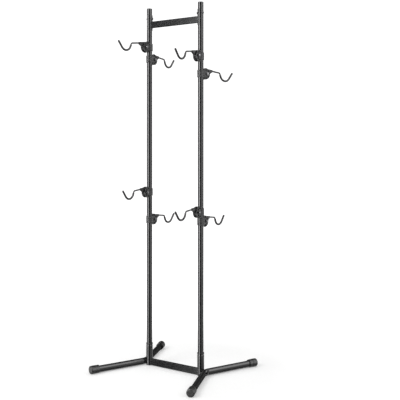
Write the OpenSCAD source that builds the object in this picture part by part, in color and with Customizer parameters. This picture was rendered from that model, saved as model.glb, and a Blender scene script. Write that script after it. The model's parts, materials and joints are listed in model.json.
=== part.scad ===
// Freestanding two-post bike rack with eight adjustable hooks.
// Origin on the floor at the middle of the base. X runs along the crossbars, from
// the left post to the right post. Z is up. Front hooks point to -Y, back hooks to +Y.

/* [Posts] */
// Height of the rack to the top of the post plugs
rack_h = 2100; // [1950:10:2300]
// Distance between the two posts, centre to centre
post_gap = 366; // [320:2:460]
// Outside diameter of the posts
post_d = 32; // [30:0.5:35]
// Wall of the post tubes
post_wall = 1.5; // [1.2:0.1:2]
// Height of the seam between the lower and the upper section of a post
seam_h = 1030; // [950:5:1100]
// Length of the reduced spigot that slips into the lower section
spigot_l = 80; // [50:5:120]
// Chamfer on the tube edges at the seam
seam_chamfer = 0.6; // [0.3:0.1:1]

/* [Base] */
// Width of the flat-oval leg tubes
leg_w = 30; // [27:0.5:33]
// Height of the flat-oval leg tubes
leg_h = 37.5; // [36:0.5:40]
// Wall of the leg tubes
leg_wall = 1.8; // [1.4:0.1:2.4]
// Height of the centre line of the legs and the lower crossbar above the floor
base_z = 21; // [20.5:0.5:24]
// Radius of the bend at the apex of a leg tube, on its centre line
leg_bend = 70; // [60:1:90]
// Depth that a leg tube is notched where it meets its socket
leg_notch = 3.5; // [2.5:0.1:5]
// Distance from a post's centre outwards to the end of a leg
foot_out = 164; // [150:1:220]
// Distance from the crossbar line to the end of a leg
foot_side = 334.5; // [300:0.5:400]
// Wall of the sockets that hold the posts
socket_wall = 3.25; // [2.6:0.05:4]
// Height of the top of the sockets above the floor
socket_top = 130; // [110:1:160]
// Height of the rim at the top of a socket
lip_h = 8; // [5:0.5:12]
// How far the rim stands out
lip_out = 0.5; // [0.3:0.1:1.5]
// Chamfer on the edge of the rim
lip_chamfer = 1; // [0.5:0.1:1.5]
// Height of the neck under the rim, with its sloping flank
neck_h = 7; // [4:0.5:12]
// Depth of the neck
neck_in = 1.5; // [0.8:0.1:2]

/* [Foot caps] */
// Outside diameter of a foot cap
cap_d = 46; // [44:0.5:50]
// Length of a foot cap along its leg
cap_l = 54; // [48:1:70]
// Thickness of the closed end of a foot cap
cap_end = 6; // [4:0.5:9]
// Rounding of the closed end
cap_round = 7; // [4:0.5:9]
// Depth of the flat that a foot cap rests on
cap_flat = 0.5; // [0.3:0.1:1]
// Length of the thinner mouth of a foot cap
cap_mouth_l = 20; // [12:0.5:24]
// Step from the mouth out to the body of a foot cap
cap_step = 0.6; // [0.3:0.1:0.9]
// Width of the groove between the mouth and the body
cap_groove_w = 3; // [2:0.1:4]
// Depth of that groove under the mouth
cap_groove = 0.8; // [0.4:0.1:1]

/* [Crossbars] */
// Height of the crossbar section
bar_h = 37; // [34:1:40]
// Thickness of the crossbar section
bar_t = 20; // [16:1:24]
// Wall of the crossbars
bar_wall = 1.5; // [1.2:0.1:2]
// Outer corner radius of the crossbar section
bar_corner = 2.6; // [2.2:0.1:4]
// Drop from the top of the rack to the centre of the upper crossbar
top_bar_drop = 97; // [85:1:130]
// Wall of the saddles that wrap the posts
saddle_wall = 2.5; // [2:0.1:3]
// Reach of a saddle above the centre of the upper crossbar
saddle_up = 57; // [50:1:65]
// Reach of a saddle below the centre of the upper crossbar
saddle_down = 31; // [25:1:40]
// Angle that a saddle wraps round its post
saddle_wrap = 200; // [180:5:220]
// Height of a saddle's bolt above the centre of the upper crossbar
saddle_bolt_up = 36; // [32:1:42]
// Length of the threaded plug inside each end of the lower crossbar
insert_l = 22; // [18:1:30]
// Distance from a socket to the threaded plug
insert_set = 6; // [5:0.5:10]

/* [Post plugs] */
// Thickness of a plug's visible rim
plug_rim = 3; // [2:0.5:5]
// Rounding of a plug's rim
plug_round = 1.6; // [1:0.1:1.9]
// Depth that a plug reaches into its post
plug_depth = 24; // [16:1:30]
// Wall of the hollow shank of a plug
plug_wall = 2; // [1.5:0.1:3]
// Depth of the rings that grip the inside of the post
plug_ring = 0.8; // [0.5:0.1:1.2]

/* [Brackets] */
// Wall of the collar round the post
collar_wall = 3.45; // [3:0.05:5]
// Height of the collar
collar_h = 42; // [38:1:50]
// Chamfer on the outer edges of the collar
collar_chamfer = 1.5; // [0.5:0.1:2]
// Radius of the round cheeks
cheek_r = 32; // [30:0.5:34]
// Distance from the post's surface to the centre of the cheeks
cheek_out = 11; // [9:0.5:14]
// Thickness of a cheek
cheek_t = 7; // [6:0.5:9]
// Thickness of the arm's lug between the cheeks
lug_t = 12.6; // [10:0.2:15]
// Gap between the lug and a cheek
lug_gap = 0.2; // [0.1:0.05:0.3]
// Distance from the post's surface to the hub bolt
hub_out = 22; // [20:0.5:25]
// Radius of the raised boss round the hub bolt
boss_r = 11; // [10:0.5:13]
// Height of the raised boss
boss_h = 1.5; // [1:0.1:2.5]
// Depth of the moulded pockets in a cheek
pocket_depth = 3.6; // [2:0.1:4.5]
// Inner radius of the pockets
pocket_in = 18; // [17:0.5:20]
// Outer radius of the pockets
pocket_out = 27.5; // [25:0.5:28]
// Angle that one pocket covers
pocket_angle = 31; // [24:1:36]
// Radius of the grip notches in the rim of a cheek
notch_r = 2.2; // [1.5:0.1:2.6]
// Space left round the post above and below the collar
relief = 2; // [1:0.5:3]

/* [Arms] */
// Diameter of the arm's rod
rod_d = 9; // [8:0.5:11]
// Wall of the soft sleeve on the cradle
sleeve_wall = 1.25; // [1:0.25:2.5]
// Distance from the hub bolt out to the start of the rod
root_out = 8; // [6:0.5:12]
// Height of the start of the rod above the hub bolt
root_up = 23; // [21:0.5:24]
// Distance from the hub bolt out to the shoulder of the rod
shoulder_out = 105; // [95:1:112]
// Height of the shoulder above the hub bolt
shoulder_up = 12; // [8:1:18]
// Radius of the bend at the shoulder
shoulder_bend = 12; // [10:1:16]
// Distance from the hub bolt out to the corner under the cradle
valley_out = 136; // [130:1:146]
// Depth of the corner under the cradle, below the hub bolt
valley_down = 72; // [62:1:84]
// Radius of the cradle's bend
valley_bend = 38; // [30:1:40]
// Distance from the hub bolt out to the tip
tip_out = 200; // [190:1:212]
// Height of the tip above the hub bolt
tip_up = 12; // [4:1:24]
// Thickness of the sleeve over the rod's tip
tip_cover = 3; // [2:0.5:5]
// Radius of the lug's eye round the hub bolt
eye_r = 17; // [14:0.5:18]
// Radius of the lug's outer half, which fills the slot between the cheeks
lug_fill = 20; // [17.5:0.5:20.5]
// Distance from the hub bolt out to the end of the lug
lug_out = 46; // [38:1:60]
// Material of the lug over and under the rod
lug_skin = 1.4; // [1:0.1:2]

/* [Hook heights] */
// Drop from the top of the rack to the upper front hook on the left post
upper_front_left_drop = 229; // [205:1:232]
// Drop from the top of the rack to the upper back hook on the left post
upper_back_left_drop = 298; // [295:1:600]
// Drop from the top of the rack to the upper front hook on the right post
upper_front_right_drop = 305; // [205:1:320]
// Drop from the top of the rack to the upper back hook on the right post
upper_back_right_drop = 403; // [390:1:600]
// Height of the lower front hook on the left post
lower_front_left_h = 1020; // [940:1:1200]
// Height of the lower back hook on the left post
lower_back_left_h = 858; // [700:1:880]
// Height of the lower front hook on the right post
lower_front_right_h = 920; // [700:1:1200]
// Gap between the collars of the lower pair on the right post
stack_gap = 12; // [10:0.5:20]
// Turn of the upper front left hook round its post
upper_front_left_turn = -8; // [-20:1:20]
// Turn of the upper back right hook round its post
upper_back_right_turn = -15; // [-20:1:20]

/* [Fasteners and fits] */
// Diameter of all the bolts
bolt_d = 8; // [7:0.5:9]
// Width across the flats of the bolt heads and nuts
hex_af = 13; // [12:0.5:14]
// Height of a bolt head over its flange
head_h = 4; // [3:0.5:6]
// Thickness of the flange under a bolt head
flange_h = 1.4; // [1:0.1:2]
// Diameter of the flange under a bolt head
flange_d = 17; // [15.5:0.5:19]
// Height of a nut
nut_h = 5; // [4:0.5:8]
// Radius of the dome on a cap nut
dome_r = 5.6; // [5:0.1:6]
// Running clearance all round, on the radius
run_fit = 0.05; // [0.03:0.01:0.08]
// Seating clearance between fixed pieces, on the radius
seat_fit = 0.05; // [0.03:0.01:0.1]
// Clearance of the bolt holes in the tubes, on the radius
hole_fit = 0.2; // [0.1:0.05:0.4]

/* [Hidden] */
$fn = 96;

// Margin that cuts run past a surface
past = 1;
// A tube's section draws in by this much on the radius where it is bent
bend_draw = 0.05;
// Length of straight tube that laps into a bend
bend_lap = 0.3;

// Posts and sockets
post_x = post_gap / 2;
post_r = post_d / 2;
post_bore = post_r - post_wall;
spigot_r = post_bore - seat_fit;
socket_bore = post_r + seat_fit;
socket_r = socket_bore + socket_wall;

// Legs: the bend circle sits outside the socket, and each run is its tangent to the foot
cap_r = cap_d / 2;
cap_z = cap_r - cap_flat;
apex_x = post_x + socket_r + leg_w / 2 - leg_notch;
bend_x = apex_x + leg_bend;
foot_dx = post_x + foot_out - bend_x;
foot_reach = norm([foot_dx, foot_side]);
splay = 180 - atan2(foot_side, foot_dx) - acos(leg_bend / foot_reach);
leg_run = sqrt(foot_reach * foot_reach - leg_bend * leg_bend);

// Crossbars and their bolts
bolt_r = bolt_d / 2;
base_low = base_z - bar_h / 2;
bar_z = rack_h - top_bar_drop;
saddle_bore = post_r + seat_fit;
saddle_r = saddle_bore + saddle_wall;
insert_end = post_x - socket_r - insert_set;
// The flat flange of a base bolt rests on the hollow side of the bend at its two edges
crotch = leg_bend - leg_w / 2;
flange_r = flange_d / 2;
base_flange_x = bend_x - sqrt(crotch * crotch - flange_r * flange_r);
post_foot = base_z + bolt_r + 2 * seat_fit;

// Brackets, measured from the post's centre outwards along local Y
collar_bore = post_r + run_fit;
collar_r = collar_bore + collar_wall;
cheek_y = post_r + cheek_out;
cheek_in = lug_t / 2 + lug_gap;
cheek_face = cheek_in + cheek_t;
hub_y = post_r + hub_out;
hub_bore = bolt_r + run_fit;

// Arm: corner points in the plane of the hook, from the hub bolt
rod_r = rod_d / 2;
sleeve_r = rod_r + seat_fit + sleeve_wall;
root = [root_out, root_up];
shoulder = [shoulder_out, shoulder_up];
valley = [valley_out, -valley_down];
tip = [tip_out, tip_up];

function unit(v) = v / norm(v);
function turn(a, b) = atan2(cross(a, b), a * b);
function setback(a, p, b, bend) = bend * tan(abs(turn(p - a, b - p)) / 2);
// Height of the rod's centre line over the hub bolt at the distance y
function rod_line(y) = root[1] + (shoulder[1] - root[1]) * (y - root[0]) / (shoulder[0] - root[0]);

// Ends of the rod's bends
into_shoulder = shoulder - unit(shoulder - root) * setback(root, shoulder, valley, shoulder_bend);
out_of_shoulder = shoulder + unit(valley - shoulder) * setback(root, shoulder, valley, shoulder_bend);
into_valley = valley - unit(valley - shoulder) * setback(shoulder, valley, tip, valley_bend);
out_of_valley = valley + unit(tip - valley) * setback(shoulder, valley, tip, valley_bend);
// The sleeve starts just past the shoulder's bend
sleeve_start = out_of_shoulder + unit(valley - shoulder) * rod_r;
sleeve_end = tip + unit(tip - valley) * tip_cover;

// Draws in the YZ plane: local X becomes Y, local Y becomes Z, local Z becomes X
module upright_plane() {
    rotate([90, 0, 90]) children();
}

// A straight length of rod from a to b in the drawing plane. Each end whose lap is 1 runs
// on into the bend there.
module straight_run(a, b, r, lap) {
    heading = b - a;
    l = norm(heading) + (lap[0] + lap[1]) * bend_lap;
    translate(a) rotate([0, 0, atan2(heading[1], heading[0])]) rotate([0, 90, 0])
        translate([0, 0, -lap[0] * bend_lap]) cylinder(h = l, r = r);
}

// A bend of rod round the corner p between the points a and b
module corner_bend(a, p, b, bend, r) {
    inward = unit(p - a);
    angle = turn(inward, b - p);
    side = sign(angle);
    start = p - inward * setback(a, p, b, bend);
    centre = start + side * bend * [-inward[1], inward[0]];
    first = atan2(inward[1], inward[0]) - side * 90;
    translate(centre) rotate([0, 0, side > 0 ? first : first + angle])
        rotate_extrude(angle = abs(angle)) translate([bend, 0]) circle(r - bend_draw);
}

// A tube of radius r outside and bore inside, standing on z = 0
module pipe(h, r, bore) {
    difference() {
        cylinder(h = h, r = r);
        translate([0, 0, -past]) cylinder(h = h + 2 * past, r = bore);
    }
}

// A rounded rectangle, w across and h high, centred
module bar_section(w, h, corner) {
    square([w - 2 * corner, h], center = true);
    square([w, h - 2 * corner], center = true);
    for (sx = [-1, 1]) for (sy = [-1, 1])
        translate([sx * (w / 2 - corner), sy * (h / 2 - corner)]) circle(corner);
}

// A rectangular tube along X, centred on the origin
module bar_tube(l) {
    upright_plane() translate([0, 0, -l / 2]) linear_extrude(l) difference() {
        bar_section(bar_t, bar_h, bar_corner);
        bar_section(bar_t - 2 * bar_wall, bar_h - 2 * bar_wall, bar_corner - bar_wall);
    }
}

// A flanged hex bolt along -X, with the underside of its flange at the origin
module flange_bolt(shank) {
    rotate([0, 90, 0]) {
        cylinder(h = flange_h, r = flange_r);
        translate([0, 0, flange_h]) cylinder(h = head_h, d = hex_af / cos(30), $fn = 6);
    }
    translate([-shank, 0, 0]) rotate([0, 90, 0]) cylinder(h = shank, r = bolt_r);
}

// A cap nut along X on a bolt's end, with its seat at the origin
module cap_nut(bore_depth) {
    difference() {
        rotate([0, 90, 0]) {
            cylinder(h = nut_h, d = hex_af / cos(30), $fn = 6);
            translate([0, 0, nut_h]) intersection() {
                sphere(dome_r);
                cylinder(h = dome_r, r = dome_r);
            }
        }
        translate([-past, 0, 0]) rotate([0, 90, 0]) cylinder(h = bore_depth + past, r = bolt_r + seat_fit);
    }
}

// Places a child at the left post as drawn, or mirrored to the right post
module at_side(side) {
    if (side == "right") children();
    else mirror([1, 0, 0]) children();
}

// Flat-oval section of a leg tube, drawn in by shrink all round, with its height along Y
module leg_section(shrink) {
    for (s = [-1, 1]) translate([0, s * (leg_h - leg_w) / 2]) circle(leg_w / 2 - shrink);
    square([leg_w - 2 * shrink, leg_h - leg_w], center = true);
}

// A straight length of leg section of length l along Z, standing up on its leg
module leg_length(shrink, l) {
    linear_extrude(l) rotate([0, 0, 90]) leg_section(shrink);
}

// Solid along one V-shaped leg tube on the right side
module leg_solid(shrink, extra) {
    translate([bend_x, 0, base_z]) rotate([0, 0, 180 - splay])
        rotate_extrude(angle = 2 * splay) translate([leg_bend, 0]) leg_section(shrink + bend_draw);
    for (s = [-1, 1]) leg_direction(s) translate([0, 0, -bend_lap])
        leg_length(shrink, leg_run - cap_end + bend_lap + extra);
}

// Moves to where a straight leg leaves the bend, with Z along the leg
module leg_direction(s) {
    translate([bend_x - leg_bend * cos(splay), s * leg_bend * sin(splay), base_z])
        rotate([0, 0, s * (90 - splay)]) rotate([0, 90, 0]) children();
}

module base_bolt_hole() {
    translate([insert_end, 0, base_z]) rotate([0, 90, 0])
        cylinder(h = bend_x - insert_end, r = bolt_r + hole_fit);
}

module leg_tube(side) {
    color("#1b1b1d") at_side(side) difference() {
        leg_solid(0, 0);
        leg_solid(leg_wall, past);
        translate([post_x, 0, 0]) cylinder(h = socket_top, r = socket_r);
        base_bolt_hole();
    }
}

// Half section of a socket: plain sleeve, neck with a sloping flank, and chamfered rim
module socket_section() {
    top = socket_top - base_low;
    rim_r = socket_r + lip_out;
    polygon([
        [socket_bore, 0],
        [socket_r, 0],
        [socket_r, top - lip_h - neck_h],
        [socket_r - neck_in, top - lip_h - neck_h / 2],
        [socket_r - neck_in, top - lip_h],
        [rim_r, top - lip_h],
        [rim_r, top - lip_chamfer],
        [rim_r - lip_chamfer, top],
        [socket_bore, top]
    ]);
}

module post_socket(side) {
    color("#1b1b1d") at_side(side) difference() {
        translate([post_x, 0, base_low]) rotate_extrude() socket_section();
        base_bolt_hole();
    }
}

// Half section of a foot cap: mouth at the bottom, closed end at the top
module cap_section() {
    mouth_r = cap_r - cap_step;
    difference() {
        union() {
            square([cap_r - cap_round, cap_l]);
            square([cap_r, cap_l - cap_round]);
            translate([cap_r - cap_round, cap_l - cap_round]) circle(cap_round);
        }
        translate([mouth_r, -past]) square([cap_step + past, cap_mouth_l + past]);
        translate([mouth_r - cap_groove, cap_mouth_l]) square([cap_groove + cap_step + past, cap_groove_w]);
    }
}

// Round cap with a flat underside. Its axis lies higher than the leg's.
module foot_cap(side, s) {
    color("#141414") at_side(side) difference() {
        leg_direction(s) translate([base_z - cap_z, 0, leg_run - cap_l]) rotate_extrude() cap_section();
        leg_direction(s) translate([0, 0, leg_run - cap_l - past])
            leg_length(-seat_fit, cap_l - cap_end + past);
        translate([0, 0, -cap_r]) linear_extrude(cap_r) square(4 * (foot_side + foot_out), center = true);
    }
}

module lower_crossbar() {
    color("#2b2c2e") difference() {
        translate([0, 0, base_z]) bar_tube(post_gap);
        for (s = [-1, 1]) translate([s * post_x, 0, 0]) cylinder(h = socket_top, r = socket_r);
    }
}

// Threaded plugs that slide into the ends of the lower crossbar
module crossbar_inserts() {
    inside = 2 * (bar_wall + seat_fit);
    color("#8a8c8f") for (side = ["left", "right"]) at_side(side) difference() {
        translate([insert_end - insert_l, 0, base_z]) upright_plane() linear_extrude(insert_l)
            bar_section(bar_t - inside, bar_h - inside, bar_corner - bar_wall);
        translate([insert_end - insert_l - past, 0, base_z]) rotate([0, 90, 0])
            cylinder(h = insert_l + 2 * past, r = bolt_r + seat_fit);
    }
}

module base_bolts() {
    color("#2a2a2c") for (side = ["left", "right"]) at_side(side)
        translate([base_flange_x, 0, base_z]) flange_bolt(base_flange_x - insert_end + insert_l);
}

module lower_post(side) {
    color("#202124") at_side(side) translate([post_x, 0, post_foot]) difference() {
        pipe(seam_h - post_foot, post_r, post_bore);
        translate([0, 0, seam_h - post_foot - seam_chamfer]) difference() {
            cylinder(h = seam_chamfer + past, r = post_r + past);
            translate([0, 0, -past]) cylinder(h = 2 * past + seam_chamfer, r = post_r - seam_chamfer);
        }
    }
}

// Half section of an upper post: a reduced spigot under the seam, then the full tube
module upper_post_section(top) {
    translate([spigot_r - post_wall, -spigot_l]) square([post_wall, spigot_l + post_wall]);
    polygon([
        [post_bore, 0],
        [post_r - seam_chamfer, 0],
        [post_r, seam_chamfer],
        [post_r, top],
        [post_bore, top]
    ]);
    translate([spigot_r - post_wall, 0]) square([post_bore - spigot_r + 2 * post_wall, post_wall]);
}

module upper_post(side) {
    color("#202124") at_side(side) difference() {
        translate([post_x, 0, seam_h]) rotate_extrude() upper_post_section(rack_h - plug_rim - seam_h);
        saddle_bolt_hole();
    }
}

module saddle_bolt_hole() {
    translate([post_x - saddle_r - past, 0, bar_z + saddle_bolt_up]) rotate([0, 90, 0])
        cylinder(h = 2 * (saddle_r + past), r = bolt_r + hole_fit);
}

// A curved plate that wraps the post from the side of the crossbar
module saddle() {
    translate([post_x, 0, bar_z - saddle_down]) rotate([0, 0, 180 - saddle_wrap / 2])
        rotate_extrude(angle = saddle_wrap) translate([saddle_bore, 0])
            square([saddle_wall, saddle_up + saddle_down]);
}

module upper_crossbar() {
    color("#2b2c2e") difference() {
        union() {
            difference() {
                translate([0, 0, bar_z]) bar_tube(post_gap);
                for (s = [-1, 1]) translate([s * post_x, 0, bar_z - bar_h])
                    cylinder(h = 2 * bar_h, r = saddle_r - saddle_wall / 2);
            }
            saddle();
            mirror([1, 0, 0]) saddle();
        }
        saddle_bolt_hole();
        mirror([1, 0, 0]) saddle_bolt_hole();
    }
}

// The bolts pass outwards through saddle and post, with their heads between the posts
module crossbar_bolts() {
    color("#2a2a2c") for (side = ["left", "right"]) at_side(side)
        translate([post_x - saddle_r, 0, bar_z + saddle_bolt_up]) mirror([1, 0, 0])
            flange_bolt(saddle_r + post_r + nut_h);
}

module crossbar_cap_nuts() {
    color("#2a2a2c") for (side = ["left", "right"]) at_side(side)
        translate([post_x + post_r, 0, bar_z + saddle_bolt_up]) cap_nut(nut_h + seat_fit);
}

// Half section of a post plug: a rounded rim over a hollow shank with grip rings
module plug_section() {
    shank_r = post_bore - seat_fit - plug_ring;
    translate([0, -plug_wall]) square([shank_r, plug_wall]);
    square([post_r - plug_round, plug_rim]);
    square([post_r, plug_rim - plug_round]);
    intersection() {
        translate([post_r - plug_round, plug_rim - plug_round]) circle(plug_round);
        square([post_r, plug_rim]);
    }
    translate([shank_r - plug_wall, -plug_depth]) square([plug_wall, plug_depth]);
    for (i = [1:4])
        translate([shank_r - plug_wall, -i * plug_depth / 4 + plug_wall])
            square([plug_wall + plug_ring, plug_wall]);
}

module post_plug(side) {
    color("#161616") at_side(side) translate([post_x, 0, rack_h - plug_rim])
        rotate_extrude() plug_section();
}

// Places a hook: x and z of its bracket's centre, and the way it faces
module hook_at(place) {
    translate([place[0], 0, place[1]]) rotate([0, 0, place[2]]) children();
}

// Post, height and facing of each hook. 0 faces the back, 180 the front.
upper_front_left = [-post_x, rack_h - upper_front_left_drop, 180 + upper_front_left_turn];
upper_back_left = [-post_x, rack_h - upper_back_left_drop, 0];
upper_front_right = [post_x, rack_h - upper_front_right_drop, 180];
upper_back_right = [post_x, rack_h - upper_back_right_drop, upper_back_right_turn];
lower_front_left = [-post_x, lower_front_left_h, 180];
lower_back_left = [-post_x, lower_back_left_h, 0];
lower_front_right = [post_x, lower_front_right_h, 180];
lower_back_right = [post_x, lower_front_right_h - collar_h - stack_gap, 0];

// One round cheek with its moulded pockets and the notches round its rim
module cheek(side) {
    face = side * cheek_face;
    difference() {
        translate([side > 0 ? cheek_in : -cheek_face, cheek_y, 0]) rotate([0, 90, 0])
            cylinder(h = cheek_t, r = cheek_r);
        translate([0, cheek_y, 0]) upright_plane() {
            for (a = [-90:45:90]) rotate([0, 0, a - pocket_angle / 2])
                translate([0, 0, side > 0 ? face - pocket_depth : face - past])
                    rotate_extrude(angle = pocket_angle) translate([pocket_in, 0])
                        square([pocket_out - pocket_in, pocket_depth + past]);
            for (a = [-78:15:27]) rotate([0, 0, a])
                translate([cheek_r + notch_r / 2, 0, side > 0 ? cheek_in - past : -cheek_face - past])
                    cylinder(h = cheek_t + 2 * past, r = notch_r);
        }
    }
    translate([side > 0 ? cheek_in : -cheek_face - boss_h, hub_y, 0]) rotate([0, 90, 0])
        cylinder(h = cheek_t + boss_h, r = boss_r);
}

// Half section of the collar, with its outer edges chamfered
module collar_section() {
    polygon([
        [collar_bore, -collar_h / 2],
        [collar_r - collar_chamfer, -collar_h / 2],
        [collar_r, collar_chamfer - collar_h / 2],
        [collar_r, collar_h / 2 - collar_chamfer],
        [collar_r - collar_chamfer, collar_h / 2],
        [collar_bore, collar_h / 2]
    ]);
}

// Split collar with two cheeks that the hub bolt draws together on the post and the arm
module bracket() {
    color("#1a1a1b") difference() {
        union() {
            rotate_extrude() collar_section();
            cheek(1);
            cheek(-1);
        }
        translate([0, 0, -cheek_r - past]) cylinder(h = 2 * (cheek_r + past), r = collar_bore);
        for (z = [collar_h / 2, -collar_h / 2 - cheek_r])
            translate([0, 0, z]) cylinder(h = cheek_r, r = collar_r + relief);
        translate([-cheek_in, 0, -cheek_r - past])
            cube([2 * cheek_in, cheek_y + cheek_r + past, 2 * (cheek_r + past)]);
        translate([-cheek_face - boss_h - past, hub_y, 0]) rotate([0, 90, 0])
            cylinder(h = 2 * (cheek_face + boss_h + past), r = hub_bore);
    }
}

// Hub bolt across the bracket, with a cap nut on its far end
module hub_bolt() {
    reach = cheek_face + boss_h;
    color("#b4b7ba") translate([0, hub_y, 0]) {
        translate([reach, 0, 0]) flange_bolt(2 * reach + nut_h);
        translate([-reach, 0, 0]) mirror([1, 0, 0]) cap_nut(nut_h + seat_fit);
    }
}

// Flat lug with the eye for the hub bolt, and the bent rod that carries the cradle
module arm() {
    over = rod_r + lug_skin;
    color("#1d1d1f") translate([0, hub_y, 0]) difference() {
        union() {
            upright_plane() translate([0, 0, -lug_t / 2]) linear_extrude(lug_t) {
                circle(eye_r);
                intersection() {
                    circle(lug_fill);
                    translate([0, -lug_fill]) square([lug_fill, 2 * lug_fill]);
                }
                polygon([
                    [-eye_r / 2, eye_r / 2],
                    [-eye_r / 8, rod_line(0) + over],
                    [lug_out, rod_line(lug_out) + over],
                    [lug_out, rod_line(lug_out) - over],
                    [eye_r * cos(16), -eye_r * sin(16)]
                ]);
            }
            upright_plane() {
                straight_run(root, into_shoulder, rod_r, [0, 1]);
                corner_bend(root, shoulder, valley, shoulder_bend, rod_r);
                straight_run(out_of_shoulder, into_valley, rod_r, [1, 1]);
                corner_bend(shoulder, valley, tip, valley_bend, rod_r);
                straight_run(out_of_valley, tip, rod_r, [1, 0]);
            }
        }
        translate([-lug_t, 0, 0]) rotate([0, 90, 0]) cylinder(h = 2 * lug_t, r = hub_bore);
    }
}

// A dome of radius r at p, which points along heading and laps back into the rod
module round_end(p, heading, r) {
    translate(p) rotate([0, 0, atan2(heading[1], heading[0])]) rotate([0, 90, 0])
        rotate_extrude() intersection() {
            circle(r);
            translate([0, -bend_lap]) square([r, r + bend_lap]);
        }
}

// Solid along the cradle from the given start to the given end
module cradle_solid(start, end, r) {
    straight_run(start, into_valley, r, [0, 1]);
    corner_bend(shoulder, valley, tip, valley_bend, r);
    straight_run(out_of_valley, end, r, [1, 0]);
}

// Soft sleeve on the cradle, closed over the rod's tip with a round end
module cradle() {
    color("#101010") translate([0, hub_y, 0]) upright_plane() difference() {
        union() {
            cradle_solid(sleeve_start, sleeve_end, sleeve_r);
            round_end(sleeve_end, tip - valley, sleeve_r - bend_draw);
        }
        cradle_solid(
            sleeve_start - unit(valley - shoulder) * past,
            tip + unit(tip - valley) * seat_fit,
            rod_r + seat_fit);
    }
}

leg_tube("left");  // leg_tube_left
leg_tube("right");  // leg_tube_right
post_socket("left");  // post_socket_left
post_socket("right");  // post_socket_right
foot_cap("left", -1);  // foot_cap_front_left
foot_cap("left", 1);  // foot_cap_back_left
foot_cap("right", -1);  // foot_cap_front_right
foot_cap("right", 1);  // foot_cap_back_right
lower_crossbar();
crossbar_inserts();
base_bolts();
lower_post("left");  // lower_post_left
lower_post("right");  // lower_post_right
upper_post("left");  // upper_post_left
upper_post("right");  // upper_post_right
upper_crossbar();
crossbar_bolts();
crossbar_cap_nuts();
post_plug("left");  // post_plug_left
post_plug("right");  // post_plug_right
hook_at(upper_front_left) bracket();  // bracket_upper_front_left
hook_at(upper_front_left) hub_bolt();  // hub_bolt_upper_front_left
hook_at(upper_front_left) arm();  // arm_upper_front_left
hook_at(upper_front_left) cradle();  // cradle_upper_front_left
hook_at(upper_back_left) bracket();  // bracket_upper_back_left
hook_at(upper_back_left) hub_bolt();  // hub_bolt_upper_back_left
hook_at(upper_back_left) arm();  // arm_upper_back_left
hook_at(upper_back_left) cradle();  // cradle_upper_back_left
hook_at(upper_front_right) bracket();  // bracket_upper_front_right
hook_at(upper_front_right) hub_bolt();  // hub_bolt_upper_front_right
hook_at(upper_front_right) arm();  // arm_upper_front_right
hook_at(upper_front_right) cradle();  // cradle_upper_front_right
hook_at(upper_back_right) bracket();  // bracket_upper_back_right
hook_at(upper_back_right) hub_bolt();  // hub_bolt_upper_back_right
hook_at(upper_back_right) arm();  // arm_upper_back_right
hook_at(upper_back_right) cradle();  // cradle_upper_back_right
hook_at(lower_front_left) bracket();  // bracket_lower_front_left
hook_at(lower_front_left) hub_bolt();  // hub_bolt_lower_front_left
hook_at(lower_front_left) arm();  // arm_lower_front_left
hook_at(lower_front_left) cradle();  // cradle_lower_front_left
hook_at(lower_back_left) bracket();  // bracket_lower_back_left
hook_at(lower_back_left) hub_bolt();  // hub_bolt_lower_back_left
hook_at(lower_back_left) arm();  // arm_lower_back_left
hook_at(lower_back_left) cradle();  // cradle_lower_back_left
hook_at(lower_front_right) bracket();  // bracket_lower_front_right
hook_at(lower_front_right) hub_bolt();  // hub_bolt_lower_front_right
hook_at(lower_front_right) arm();  // arm_lower_front_right
hook_at(lower_front_right) cradle();  // cradle_lower_front_right
hook_at(lower_back_right) bracket();  // bracket_lower_back_right
hook_at(lower_back_right) hub_bolt();  // hub_bolt_lower_back_right
hook_at(lower_back_right) arm();  // arm_lower_back_right
hook_at(lower_back_right) cradle();  // cradle_lower_back_right
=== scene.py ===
import json
import math

import bpy
from bpy.props import FloatProperty, FloatVectorProperty, PointerProperty
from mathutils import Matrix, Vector


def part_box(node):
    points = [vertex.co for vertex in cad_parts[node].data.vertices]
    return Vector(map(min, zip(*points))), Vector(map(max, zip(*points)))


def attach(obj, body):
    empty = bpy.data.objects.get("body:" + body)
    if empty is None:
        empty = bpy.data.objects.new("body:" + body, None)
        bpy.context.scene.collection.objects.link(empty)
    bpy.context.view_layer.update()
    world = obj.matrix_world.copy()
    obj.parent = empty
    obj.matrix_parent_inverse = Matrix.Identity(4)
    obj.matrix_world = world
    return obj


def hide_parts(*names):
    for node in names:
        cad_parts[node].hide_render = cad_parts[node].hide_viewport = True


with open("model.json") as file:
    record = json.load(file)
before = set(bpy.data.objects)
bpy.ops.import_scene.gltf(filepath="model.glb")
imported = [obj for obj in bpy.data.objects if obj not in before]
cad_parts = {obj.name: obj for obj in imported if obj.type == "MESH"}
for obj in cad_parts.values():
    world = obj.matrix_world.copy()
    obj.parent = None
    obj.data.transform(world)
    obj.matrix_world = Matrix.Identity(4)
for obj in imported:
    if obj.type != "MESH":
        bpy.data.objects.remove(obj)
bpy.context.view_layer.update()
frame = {"nodes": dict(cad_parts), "record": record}

bl_info = {
    "name": "Bike Rack Dresser",
    "version": (1, 0, 0),
    "blender": (4, 5, 0),
    "location": "View3D > Sidebar > Bike Rack",
    "description": "Finishes a two-post bike rack: paint, brackets, rubber feet, welds and studio",
    "category": "Object",
}

MM = 0.001
SIDES = ("left", "right")
HOOKS = tuple(
    f"{level}_{face}_{side}"
    for level in ("upper", "lower")
    for face in ("front", "back")
    for side in SIDES
)


# Sizes and colours that a user would change


def colour(name, description, default):
    return FloatVectorProperty(
        name=name, description=description, subtype="COLOR", size=3,
        min=0.0, max=1.0, default=default,
    )


def length(name, description, default, high=10.0):
    return FloatProperty(
        name=name, description=description, unit="LENGTH",
        min=0.0, max=high, default=default, precision=5,
    )


def factor(name, description, default, high=1.0):
    return FloatProperty(
        name=name, description=description, min=0.0, max=high, default=default
    )


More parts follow.
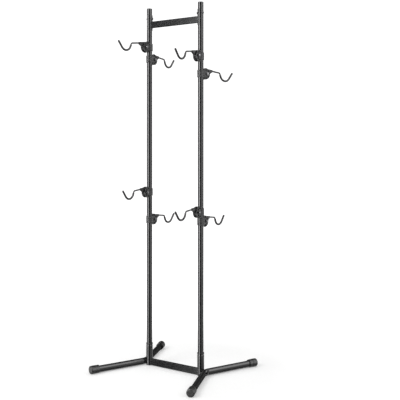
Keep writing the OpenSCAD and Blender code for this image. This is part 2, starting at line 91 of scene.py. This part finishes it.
class RackFinish(bpy.types.PropertyGroup):
    tube_colour: colour("Tube paint", "Powder coat of the posts", (0.0080, 0.0082, 0.0088))
    base_colour: colour(
        "Base paint", "Powder coat of the legs and sockets", (0.0095, 0.0095, 0.0100)
    )
    bar_colour: colour(
        "Crossbar paint", "Powder coat of the two crossbars", (0.0105, 0.0107, 0.0113)
    )
    arm_colour: colour("Arm paint", "Powder coat of the hook arms", (0.0120, 0.0120, 0.0126))
    plastic_colour: colour(
        "Moulding", "Black nylon of the brackets and plugs", (0.0110, 0.0110, 0.0114)
    )
    rubber_colour: colour("Rubber", "Foot caps and cradle sleeves", (0.0095, 0.0095, 0.0095))
    zinc_colour: colour("Zinc plating", "Hub bolts", (0.22, 0.22, 0.225))
    oxide_colour: colour("Black oxide", "Frame bolts and nuts", (0.045, 0.045, 0.047))
    tube_roughness: factor("Tube roughness", "Gloss of the powder coat", 0.19)
    peel: length("Orange peel", "Width of the ripples in the powder coat", 1.6 * MM)
    grain: length("Moulded grain", "Width of the grain on the plastic", 0.7 * MM)
    steel_edge: length("Steel edges", "Rounding of the edges of painted steel", 0.5 * MM)
    moulded_edge: length("Moulded edges", "Rounding of the edges of the brackets", 0.8 * MM)
    rubber_edge: length("Rubber edges", "Rounding of the edges of the foot caps", 0.5 * MM)
    bolt_edge: length("Bolt edges", "Rounding of the edges of bolts and nuts", 0.35 * MM)
    nut_height: factor("Nut height", "Height of the cap nuts, as a share of a full one", 0.3)
    weld: length("Weld", "Radius of the weld beads", 2.0 * MM)
    socket_radius: length(
        "Socket radius", "Outside of the sockets, where the legs are welded", 19.3 * MM
    )
    leg_half: length("Leg half width", "Half the width of the leg tubes", 15 * MM)
    leg_bend: length("Leg bend", "Radius of the bend of a leg on its centre line", 70 * MM)
    saddle_radius: length(
        "Saddle radius", "Outside of the saddles, where the crossbar is welded", 18.55 * MM
    )
    bar_z: length("Upper bar height", "Height of the centre of the upper crossbar", 2.003)
    bar_half_t: length(
        "Bar half thickness", "Half the thickness of the crossbars", 10 * MM
    )
    bar_half_h: length("Bar half height", "Half the height of the crossbars", 18.5 * MM)
    bar_corner: length("Bar corner", "Corner radius of the crossbars", 2.6 * MM)


class RackStage(bpy.types.PropertyGroup):
    camera_x: length("Camera X", "Place of the camera", 2.5256, 20)
    camera_back: length(
        "Camera distance", "How far the camera stands in front of the crossbars", 3.4237, 20
    )
    camera_height: length("Camera height", "Height of the lens above the floor", 1.2841, 20)
    heading: FloatProperty(
        name="Heading", description="Turn of the camera from looking along +Y",
        unit="ROTATION", default=math.radians(34.434),
    )
    lens: FloatProperty(
        name="Lens", description="Focal length, in millimetres", default=66.42, min=10, max=300
    )
    rise: FloatProperty(
        name="Shift", description="Vertical shift of the lens", default=-0.1323, min=-1, max=1
    )
    floor_size: length("Floor", "Side of the floor", 40.0, 100)
    floor_tone: factor("Floor tone", "Grey of the floor", 0.9)
    near_glow: factor("Near glow", "Light that the floor gives under the rack", 0.3)
    far_glow: factor("Far glow", "Light that the floor gives away from the rack", 0.8)
    clear_radius: length(
        "Clear radius", "Distance from the rack at which the floor has faded to white", 1.5
    )
    fill: factor("Fill", "Even light from all sides", 0.5, 5)
    room_glow: factor("Room", "Brightness of the dark room in reflections", 0.06, 5)
    backdrop: factor("Backdrop", "Brightness of the white behind the rack", 1.2, 5)


# Shader maths as Python expressions


class Sock:
    """An output of a node that takes part in expressions."""

    def __init__(self, shader, socket):
        self.shader = shader
        self.socket = socket

    def maths(self, operation, *values):
        return self.shader.node("ShaderNodeMath", {"operation": operation}, *values)

    def __add__(self, other):
        return self.maths("ADD", self, other)

    __radd__ = __add__

    def __sub__(self, other):
        return self.maths("SUBTRACT", self, other)

    def __rsub__(self, other):
        return self.maths("SUBTRACT", other, self)

    def __mul__(self, other):
        return self.maths("MULTIPLY", self, other)

    __rmul__ = __mul__

    def over(self, low, high):
        """0 below low, 1 above high and a smooth step between them."""
        settings = {"interpolation_type": "SMOOTHSTEP"}
        return self.shader.node("ShaderNodeMapRange", settings, self, low, high, 0.0, 1.0)


class Shader:
    """The node tree of a material or a world, with its nodes as expressions."""

    def __init__(self, name, owner=None):
        self.owner = owner or bpy.data.materials.new(name)
        self.owner.use_nodes = True
        self.tree = self.owner.node_tree
        self.tree.nodes.clear()

    def feed(self, socket, value):
        if isinstance(value, Sock):
            self.tree.links.new(value.socket, socket)
        elif value is not None:
            socket.default_value = value

    def node(self, kind, settings=None, *values, out=0, **named):
        """Adds a node: its settings first, then its sockets in order or by name."""
        made = self.tree.nodes.new(kind)
        for key, value in (settings or {}).items():
            setattr(made, key, value)
        for socket, value in zip(made.inputs, values):
            self.feed(socket, value)
        for key, value in named.items():
            self.feed(made.inputs[key.replace("_", " ")], value)
        return Sock(self, made.outputs[out]) if made.outputs else None

    def place(self, stretch=(1, 1, 1)):
        """Object coordinates, in metres, stretched along each axis."""
        where = self.node("ShaderNodeTexCoord", out="Object")
        if tuple(stretch) == (1, 1, 1):
            return where
        return self.node("ShaderNodeVectorMath", {"operation": "MULTIPLY"}, where, stretch)

    def noise(self, width, detail, stretch=(1, 1, 1), rough=0.5):
        """Noise from 0 to 1 whose blobs are about this wide, in metres."""
        return self.node(
            "ShaderNodeTexNoise", None,
            Vector=self.place(stretch), Scale=1 / width, Detail=detail, Roughness=rough,
        )

    def blend(self, amount, first, second):
        """A colour between two colours."""
        made = self.tree.nodes.new("ShaderNodeMix")
        made.data_type = "RGBA"
        colours = [s for s in made.inputs if s.type == "RGBA"]
        self.feed(made.inputs[0], amount)
        self.feed(colours[0], first if isinstance(first, Sock) else (*first, 1.0))
        self.feed(colours[1], second if isinstance(second, Sock) else (*second, 1.0))
        return Sock(self, next(s for s in made.outputs if s.type == "RGBA"))

    def bump(self, height, distance, under=None):
        """A bump that is this many metres high where height is 1, over the bump under it."""
        named = {"Height": height, "Distance": distance, "Strength": 1.0}
        if under is not None:
            named["Normal"] = under
        return self.node("ShaderNodeBump", None, **named)

    def up(self):
        """1 where the surface faces up, 0 where it faces sideways and -1 where it faces down."""
        normal = self.node("ShaderNodeNewGeometry", out="Normal")
        return self.node("ShaderNodeSeparateXYZ", None, normal, out="Z")

    def finish(self, **sockets):
        """Feeds one Principled shader and returns the material."""
        surface = self.node("ShaderNodeBsdfPrincipled", None, **sockets)
        self.node("ShaderNodeOutputMaterial", None, Surface=surface)
        return self.owner


PATCHES = (0.3, 0.7)  # the part of a noise over which a colour goes from dark to light
COAT_IOR = 1.5  # index of refraction of paint, nylon and rubber


def tint(rgb, gain):
    """A colour made brighter or darker."""
    return tuple(min(1.0, c * gain) for c in rgb)


def powder_coat(name, rgb, roughness, peel, streak=False):
    """Semi-gloss powder coat: orange peel, faint mottling and a little dust on what faces up."""
    s = Shader(name)
    mottle = s.noise(60 * MM, 3)
    dust = s.up().over(0.55, 1.0) * s.noise(18 * MM, 4).over(0.35, 0.75)
    base = s.blend(mottle.over(*PATCHES), tint(rgb, 0.9), tint(rgb, 1.12))
    base = s.blend(dust * 0.35, base, tint(rgb, 2.4))
    gloss = s.noise(25 * MM, 3) * 0.05 + (roughness - 0.025) + dust * 0.08
    if streak:
        gloss = gloss + s.noise(9 * MM, 3, (1, 1, 0.02)).over(0.5, 0.8) * 0.02
    ripple = s.bump(s.noise(peel, 1), 0.003 * MM)
    speck = s.bump(s.noise(peel / 4, 2), 0.0004 * MM, under=ripple)
    return s.finish(Base_Color=base, Roughness=gloss, Normal=speck, IOR=COAT_IOR)


def moulding(name, rgb, grain):
    """Matte moulded nylon with a spark-eroded grain."""
    s = Shader(name)
    patch = s.noise(14 * MM, 4)
    dust = s.up().over(0.5, 1.0) * s.noise(6 * MM, 4).over(0.4, 0.7)
    base = s.blend(patch.over(*PATCHES), tint(rgb, 0.88), tint(rgb, 1.15))
    base = s.blend(dust * 0.3, base, tint(rgb, 2.6))
    gloss = patch * 0.14 + 0.42
    rough = s.bump(s.noise(grain, 3, rough=0.6), 0.05 * MM)
    flow = s.bump(s.noise(5 * MM, 2), 0.04 * MM, under=rough)
    return s.finish(Base_Color=base, Roughness=gloss, Normal=flow, IOR=COAT_IOR)


def rubber(name, rgb):
    """Black rubber: a soft sheen, fine pores and scuffs."""
    s = Shader(name)
    patch = s.noise(9 * MM, 4)
    scuff = s.noise(3 * MM, 4, (1, 1, 3)).over(0.55, 0.8)
    base = s.blend(patch.over(*PATCHES), tint(rgb, 0.85), tint(rgb, 1.25))
    base = s.blend(scuff * 0.3, base, tint(rgb, 2.2))
    gloss = patch * 0.16 + 0.34 + scuff * 0.1
    pores = s.bump(s.noise(0.5 * MM, 3), 0.02 * MM)
    swell = s.bump(s.noise(6 * MM, 2), 0.06 * MM, under=pores)
    return s.finish(Base_Color=base, Roughness=gloss, Normal=swell, IOR=COAT_IOR)


def plated_steel(name, rgb, roughness):
    """Plated steel with fine marks and a slightly uneven film."""
    s = Shader(name)
    film = s.noise(5 * MM, 4)
    base = s.blend(film.over(*PATCHES), tint(rgb, 0.85), tint(rgb, 1.08))
    gloss = film * 0.16 + (roughness - 0.08)
    marks = s.bump(s.noise(0.35 * MM, 3), 0.008 * MM)
    return s.finish(Base_Color=base, Roughness=gloss, Normal=marks, Metallic=1.0)


# Pieces that stand for CAD nodes, and pieces made anew

BODY_OF = {
    node: body
    for body, nodes in frame["record"]["behaviour"]["bodies"].items()
    for node in nodes
}

JOIN = 0.005 * MM  # corners closer than this are one corner
FLAT = math.radians(1)  # faces that turn less than this are one face
SHARP = 40  # an edge that turns by more degrees than this is rounded
SMOOTH = SHARP - 5  # an edge that turns by fewer degrees than this is shaded smooth
RIPPLE_WIDTH = 2.2 * MM  # of the passes of a weld
RIPPLE_DEPTH = 0.45  # as a share of the bead's radius


def only(piece):
    """Selects one piece and makes it active."""
    bpy.ops.object.select_all(action="DESELECT")
    piece.select_set(True)
    bpy.context.view_layer.objects.active = piece


def modify(piece, kind, **settings):
    """Adds a modifier to a piece and applies it."""
    modifier = piece.modifiers.new(kind.lower(), kind)
    for key, value in settings.items():
        setattr(modifier, key, value)
    only(piece)
    bpy.ops.object.modifier_apply(modifier=modifier.name)


def paint(mesh, material):
    """Gives a mesh one material in place of all it has."""
    mesh.materials.clear()
    mesh.materials.append(material)


def coat(node, material):
    """Gives a CAD node's object one material."""
    paint(frame["nodes"][node].data, material)


def smooth(piece, degrees):
    """Shades a piece smooth across the edges that turn by fewer degrees than this."""
    only(piece)
    bpy.ops.object.shade_smooth_by_angle(angle=math.radians(degrees))


def whole_copy(node, name):
    """A new piece with a CAD node's shape, its loose triangles joined into whole faces."""
    piece = bpy.data.objects.new(name, frame["nodes"][node].data.copy())
    bpy.context.scene.collection.objects.link(piece)
    only(piece)
    bpy.ops.mesh.customdata_custom_splitnormals_clear()
    bpy.ops.object.mode_set(mode="EDIT")
    bpy.ops.mesh.select_all(action="SELECT")
    bpy.ops.mesh.remove_doubles(threshold=JOIN)
    bpy.ops.mesh.dissolve_limited(angle_limit=FLAT)
    bpy.ops.object.mode_set(mode="OBJECT")
    return piece


def press_flat(piece, plane, share):
    """Flattens what stands out beyond a plane on the left and right to a share of its depth."""
    only(piece)
    for side in (-1, 1):
        bpy.ops.object.mode_set(mode="EDIT")
        bpy.ops.mesh.select_mode(type="VERT")
        bpy.ops.mesh.select_all(action="DESELECT")
        bpy.ops.object.mode_set(mode="OBJECT")
        for vertex in piece.data.vertices:
            vertex.select = vertex.co.x * side > plane
        bpy.ops.object.mode_set(mode="EDIT")
        bpy.ops.transform.resize(value=(share, 1, 1), center_override=(side * plane, 0, 0))
        bpy.ops.object.mode_set(mode="OBJECT")


def soften(node, width, material, flat=None):
    """Replaces a CAD node by the same shape with its sharp edges rounded."""
    piece = whole_copy(node, f"soft_{node}")
    if flat:
        press_flat(piece, *flat)
    modify(
        piece, "BEVEL", width=width, segments=2, limit_method="ANGLE",
        angle_limit=math.radians(SHARP), use_clamp_overlap=True, miter_outer="MITER_ARC",
    )
    smooth(piece, SMOOTH)
    modify(piece, "WEIGHTED_NORMAL", weight=100, keep_sharp=True)
    paint(piece.data, material)
    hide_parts(node)
    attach(piece, BODY_OF[node])


def bead(name, points, radius, material, body):
    """A weld bead along a closed loop of points, with the ripples of its passes."""
    data = bpy.data.curves.new(name, "CURVE")
    data.dimensions = "3D"
    data.bevel_depth = radius
    data.bevel_resolution = 4
    loop = data.splines.new("POLY")
    loop.points.add(len(points) - 1)
    for point, place in zip(loop.points, points):
        point.co = (*place, 1.0)
    loop.use_cyclic_u = True
    piece = bpy.data.objects.new(name, data)
    bpy.context.scene.collection.objects.link(piece)
    only(piece)
    bpy.ops.object.convert(target="MESH")
    piece = bpy.context.object
    ripples = bpy.data.textures.new(name, "CLOUDS")
    ripples.noise_scale = RIPPLE_WIDTH
    modify(piece, "DISPLACE", texture=ripples, strength=radius * RIPPLE_DEPTH, mid_level=0.5)
    smooth(piece, 180)
    paint(piece.data, material)
    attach(piece, body)


# Operators: one for each group of pieces


class RACK_OT_paint(bpy.types.Operator):
    """Powder coat the posts, legs, sockets, crossbars and arms"""

    bl_idname = "rack.paint"
    bl_label = "Paint Tubes"

    def execute(self, context):
        finish = context.scene.rack_finish
        gloss = finish.tube_roughness
        peel = finish.peel
        posts = powder_coat("post_paint", finish.tube_colour, gloss, peel, streak=True)
        base = powder_coat("base_paint", finish.base_colour, gloss - 0.04, peel)
        bars = powder_coat("bar_paint", finish.bar_colour, gloss - 0.05, peel)
        arms = powder_coat("arm_paint", finish.arm_colour, gloss + 0.05, peel * 0.7)
        for side in SIDES:
            coat(f"lower_post_{side}", posts)
            coat(f"upper_post_{side}", posts)
            coat(f"leg_tube_{side}", base)
            soften(f"post_socket_{side}", finish.steel_edge, base)
        coat("lower_crossbar", bars)
        soften("upper_crossbar", finish.steel_edge, bars)
        for hook in HOOKS:
            soften(f"arm_{hook}", finish.steel_edge, arms)
        return {"FINISHED"}


def leg_seam(finish, post_x, steps=24):
    """Where the right leg's flat-oval wall meets its socket, as a loop of points.

    The leg bends round a circle beyond the socket.
    """
    low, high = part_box("leg_tube_right")
    half = finish.leg_half
    bend = finish.leg_bend
    socket_r = finish.socket_radius
    middle = (low.z + high.z) / 2
    flat = (high.z - low.z) / 2 - half
    reach = low.x + half + bend - post_x
    top = flat + math.sqrt(half ** 2 - (reach - socket_r - bend) ** 2)
    loop = []
    for step in range(2 * steps):
        turn = math.pi * step / steps
        high_by = top * math.sin(turn)
        out = math.sqrt(max(0.0, half ** 2 - max(0.0, abs(high_by) - flat) ** 2))
        along = (reach ** 2 + socket_r ** 2 - (bend + out) ** 2) / (2 * reach)
        y = math.copysign(math.sqrt(max(0.0, socket_r ** 2 - along ** 2)), math.cos(turn))
        loop.append((post_x + along, y, middle + high_by))
    return loop


def saddle_seam(finish, post_x, steps=4):
    """Where the upper crossbar's right end meets its curved saddle, as a loop of points."""
    corner = finish.bar_corner
    loop = []
    for sy, sz, first in ((1, 1, 0), (-1, 1, 90), (-1, -1, 180), (1, -1, 270)):
        for step in range(steps + 1):
            angle = math.radians(first + step * 90 / steps)
            y = sy * (finish.bar_half_t - corner) + corner * math.cos(angle)
            z = sz * (finish.bar_half_h - corner) + corner * math.sin(angle)
            x = post_x - math.sqrt(finish.saddle_radius ** 2 - y * y)
            loop.append((x, y, finish.bar_z + z))
    return loop


class RACK_OT_welds(bpy.types.Operator):
    """Weld the legs to the sockets and the upper crossbar to its saddles"""

    bl_idname = "rack.welds"
    bl_label = "Add Welds"

    def execute(self, context):
        finish = context.scene.rack_finish
        base = bpy.data.materials["base_paint"]
        bars = bpy.data.materials["bar_paint"]
        low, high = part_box("lower_post_right")
        post_x = (low.x + high.x) / 2
        leg = leg_seam(finish, post_x)
        saddle = saddle_seam(finish, post_x)
        for side, sign in zip(SIDES, (-1, 1)):
            for name, points, radius, material, slot in (
                ("leg_weld", leg, finish.weld, base, "base_paint"),
                ("saddle_weld", saddle, finish.weld * 0.8, bars, "bar_paint"),
            ):
                placed = [(sign * x, y, z) for x, y, z in points]
                bead(f"{name}_{side}", placed, radius, material, "frame")
        return {"FINISHED"}


class RACK_OT_mouldings(bpy.types.Operator):
    """Finish the brackets, post plugs, foot caps and cradle sleeves"""

    bl_idname = "rack.mouldings"
    bl_label = "Finish Mouldings"

    def execute(self, context):
        finish = context.scene.rack_finish
        nylon = moulding("black_nylon", finish.plastic_colour, finish.grain)
        black_rubber = rubber("black_rubber", finish.rubber_colour)
        for side in SIDES:
            coat(f"post_plug_{side}", nylon)
            for end in ("front", "back"):
                soften(f"foot_cap_{end}_{side}", finish.rubber_edge, black_rubber)
        for hook in HOOKS:
            soften(f"bracket_{hook}", finish.moulded_edge, nylon)
            coat(f"cradle_{hook}", black_rubber)
        return {"FINISHED"}


class RACK_OT_fasteners(bpy.types.Operator):
    """Finish the bolts, nuts and threaded plugs"""

    bl_idname = "rack.fasteners"
    bl_label = "Finish Fasteners"

    def execute(self, context):
        finish = context.scene.rack_finish
        zinc = plated_steel("zinc_plate", finish.zinc_colour, roughness=0.32)
        oxide = plated_steel("black_oxide", finish.oxide_colour, roughness=0.4)
        coat("crossbar_inserts", zinc)
        soften("base_bolts", finish.bolt_edge, oxide)
        # The nuts outside the posts are low domes, and the bolts end inside them
        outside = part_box("upper_post_right")[1].x
        for node in ("crossbar_bolts", "crossbar_cap_nuts"):
            soften(node, finish.bolt_edge, oxide, flat=(outside, finish.nut_height))
        for hook in HOOKS:
            soften(f"hub_bolt_{hook}", finish.bolt_edge, zinc)
        return {"FINISHED"}


# Area lights: name, turn to the right of the camera in degrees, distance, height,
# width, height of the light itself, brightness
SOFTBOXES = (
    ("left_softbox", -55, 2.6, 2.6, 1.6, 1.6, 5.0),
    ("right_softbox", 60, 3.0, 2.4, 1.6, 1.6, 1.5),
    ("back_softbox", 180, 3.2, 2.6, 2.4, 1.6, 1.5),
)
LIT_POINT = Vector((0, 0, 0.8))  # what the area lights face
SENSOR_WIDTH = 36  # of the camera, in millimetres


def from_camera(stage, turn, distance, height):
    """A point round the rack. turn is to the right of the camera, in degrees, from the rack."""
    angle = stage.heading + math.radians(turn)
    return Vector((math.sin(angle) * distance, -math.cos(angle) * distance, height))


def softbox(name, place, width, height, glow):
    """A rectangular area light. glow is its brightness."""
    data = bpy.data.lights.new(name, "AREA")
    data.shape = "RECTANGLE"
    data.size = width
    data.size_y = height
    data.energy = glow * math.pi * width * height
    lamp = bpy.data.objects.new(name, data)
    bpy.context.scene.collection.objects.link(lamp)
    lamp.location = place
    lamp.rotation_euler = (LIT_POINT - place).to_track_quat("-Z", "Z").to_euler()
    lamp.visible_camera = False
    lamp.visible_glossy = False


def studio_world(stage):
    """White behind the rack, an even fill for soft light, and tall softboxes in reflections."""
    world = bpy.data.worlds.new("studio")
    bpy.context.scene.world = world
    s = Shader("studio", world)
    where = s.node("ShaderNodeTexCoord", out="Generated")

    def along(x, y, z):
        settings = {"operation": "DOT_PRODUCT"}
        return s.node("ShaderNodeVectorMath", settings, where, (x, y, z), out="Value")

    # The turn of a direction to the right of the camera, seen from the rack, in degrees
    side = along(math.cos(stage.heading), math.sin(stage.heading), 0)
    front = along(math.sin(stage.heading), -math.cos(stage.heading), 0)
    turn = side.maths("ARCTAN2", side, front) * math.degrees(1)
    high = along(0, 0, 1)  # -1 straight down, 1 straight up

    def between(rise, full, fade, gone):
        """1 for the turns from full to fade, and 0 before rise and after gone."""
        return turn.over(rise, full) * (1 - turn.over(fade, gone))

    # In front: a bright key on the left, dimmer low down, and a wide weak one on the right with
    # a brighter strip above eye level
    key = between(-68.7, -64.5, -45, -33) * (high.over(-0.4, -0.12) * 9.2 + 3.0)
    strip = high.over(0.14, 0.22) * (1 - high.over(0.36, 0.5)) * 3.0
    wide_level = high.over(-0.36, -0.12) * 2.25 + 0.15 + strip
    wide = between(17, 33, 62, 105) * wide_level * (1 - high.over(0.36, 0.7) * 0.85)
    # Overhead, and two weak ones behind the rack that draw its edges
    overhead = along(0.69, 0.17, 0.70).over(0.90, 0.97) * 3.8
    behind_right = between(105, 117, 130, 144) * 2.2
    behind_left = between(-155, -140, -100, -85) * 1.1
    glow = key + wide + behind_right + behind_left + overhead + stage.room_glow

    mirrored = s.node("ShaderNodeLightPath", out="Is Glossy Ray")
    seen = s.node("ShaderNodeLightPath", out="Is Camera Ray")
    level = mirrored * glow + (1 - mirrored) * stage.fill
    level = seen * stage.backdrop + (1 - seen) * level
    shine = s.node("ShaderNodeBackground", None, Color=(1, 1, 1, 1), Strength=level)
    s.node("ShaderNodeOutputWorld", None, Surface=shine)


def pale_floor(stage):
    """Matte near-white, lit from within so that it fades to the white of the background."""
    s = Shader("pale_floor")
    tone = stage.floor_tone
    warm = (tone * 0.995, tone * 0.995, tone * 0.99)
    grey = s.blend(s.noise(0.6, 2), (tone, tone, tone), warm)
    far = s.node("ShaderNodeVectorMath", {"operation": "LENGTH"}, s.place(), out="Value")
    fade = s.blend(
        far.over(stage.clear_radius / 3, stage.clear_radius),
        (stage.near_glow,) * 3, (stage.far_glow,) * 3,
    )
    return s.finish(
        Base_Color=grey, Roughness=0.9, Specular_IOR_Level=0.0,
        Emission_Color=fade, Emission_Strength=1.0,
    )


class RACK_OT_stage(bpy.types.Operator):
    """Set up the camera, the pale floor and the soft studio light"""

    bl_idname = "rack.stage"
    bl_label = "Set Stage"

    def execute(self, context):
        stage = context.scene.rack_stage
        bpy.ops.object.select_all(action="DESELECT")
        bpy.ops.mesh.primitive_plane_add(size=stage.floor_size)
        floor = context.object
        floor.name = "floor"
        floor.visible_glossy = False
        floor.data.materials.append(pale_floor(stage))

        data = bpy.data.cameras.new("camera")
        camera = bpy.data.objects.new("camera", data)
        context.scene.collection.objects.link(camera)
        camera.location = (stage.camera_x, -stage.camera_back, stage.camera_height)
        camera.rotation_euler = (math.pi / 2, 0, stage.heading)
        data.lens = stage.lens
        data.sensor_width = SENSOR_WIDTH
        data.shift_y = stage.rise
        context.scene.camera = camera

        for name, turn, distance, up, width, height, glow in SOFTBOXES:
            softbox(name, from_camera(stage, turn, distance, up), width, height, glow)
        studio_world(stage)
        context.scene.view_settings.view_transform = "Standard"
        return {"FINISHED"}


class RACK_PT_panel(bpy.types.Panel):
    """The rack's sizes, colours and steps"""

    bl_idname = "RACK_PT_panel"
    bl_label = "Bike Rack"
    bl_space_type = "VIEW_3D"
    bl_region_type = "UI"
    bl_category = "Bike Rack"

    def draw(self, context):
        for group in (context.scene.rack_finish, context.scene.rack_stage):
            box = self.layout.box()
            for key in group.__annotations__:
                box.prop(group, key)
        for step in STEPS:
            self.layout.operator(step.bl_idname)


GROUPS = (RackFinish, RackStage)
STEPS = (RACK_OT_stage, RACK_OT_paint, RACK_OT_welds, RACK_OT_mouldings, RACK_OT_fasteners)


def register():
    for cls in (*GROUPS, *STEPS, RACK_PT_panel):
        bpy.utils.register_class(cls)
    bpy.types.Scene.rack_finish = PointerProperty(type=RackFinish)
    bpy.types.Scene.rack_stage = PointerProperty(type=RackStage)


def unregister():
    del bpy.types.Scene.rack_stage
    del bpy.types.Scene.rack_finish
    for cls in (RACK_PT_panel, *reversed(STEPS), *reversed(GROUPS)):
        bpy.utils.unregister_class(cls)


def main():
    register()
    for step in STEPS:
        group, name = step.bl_idname.split(".")
        getattr(getattr(bpy.ops, group), name)()


if __name__ == "__main__":
    main()
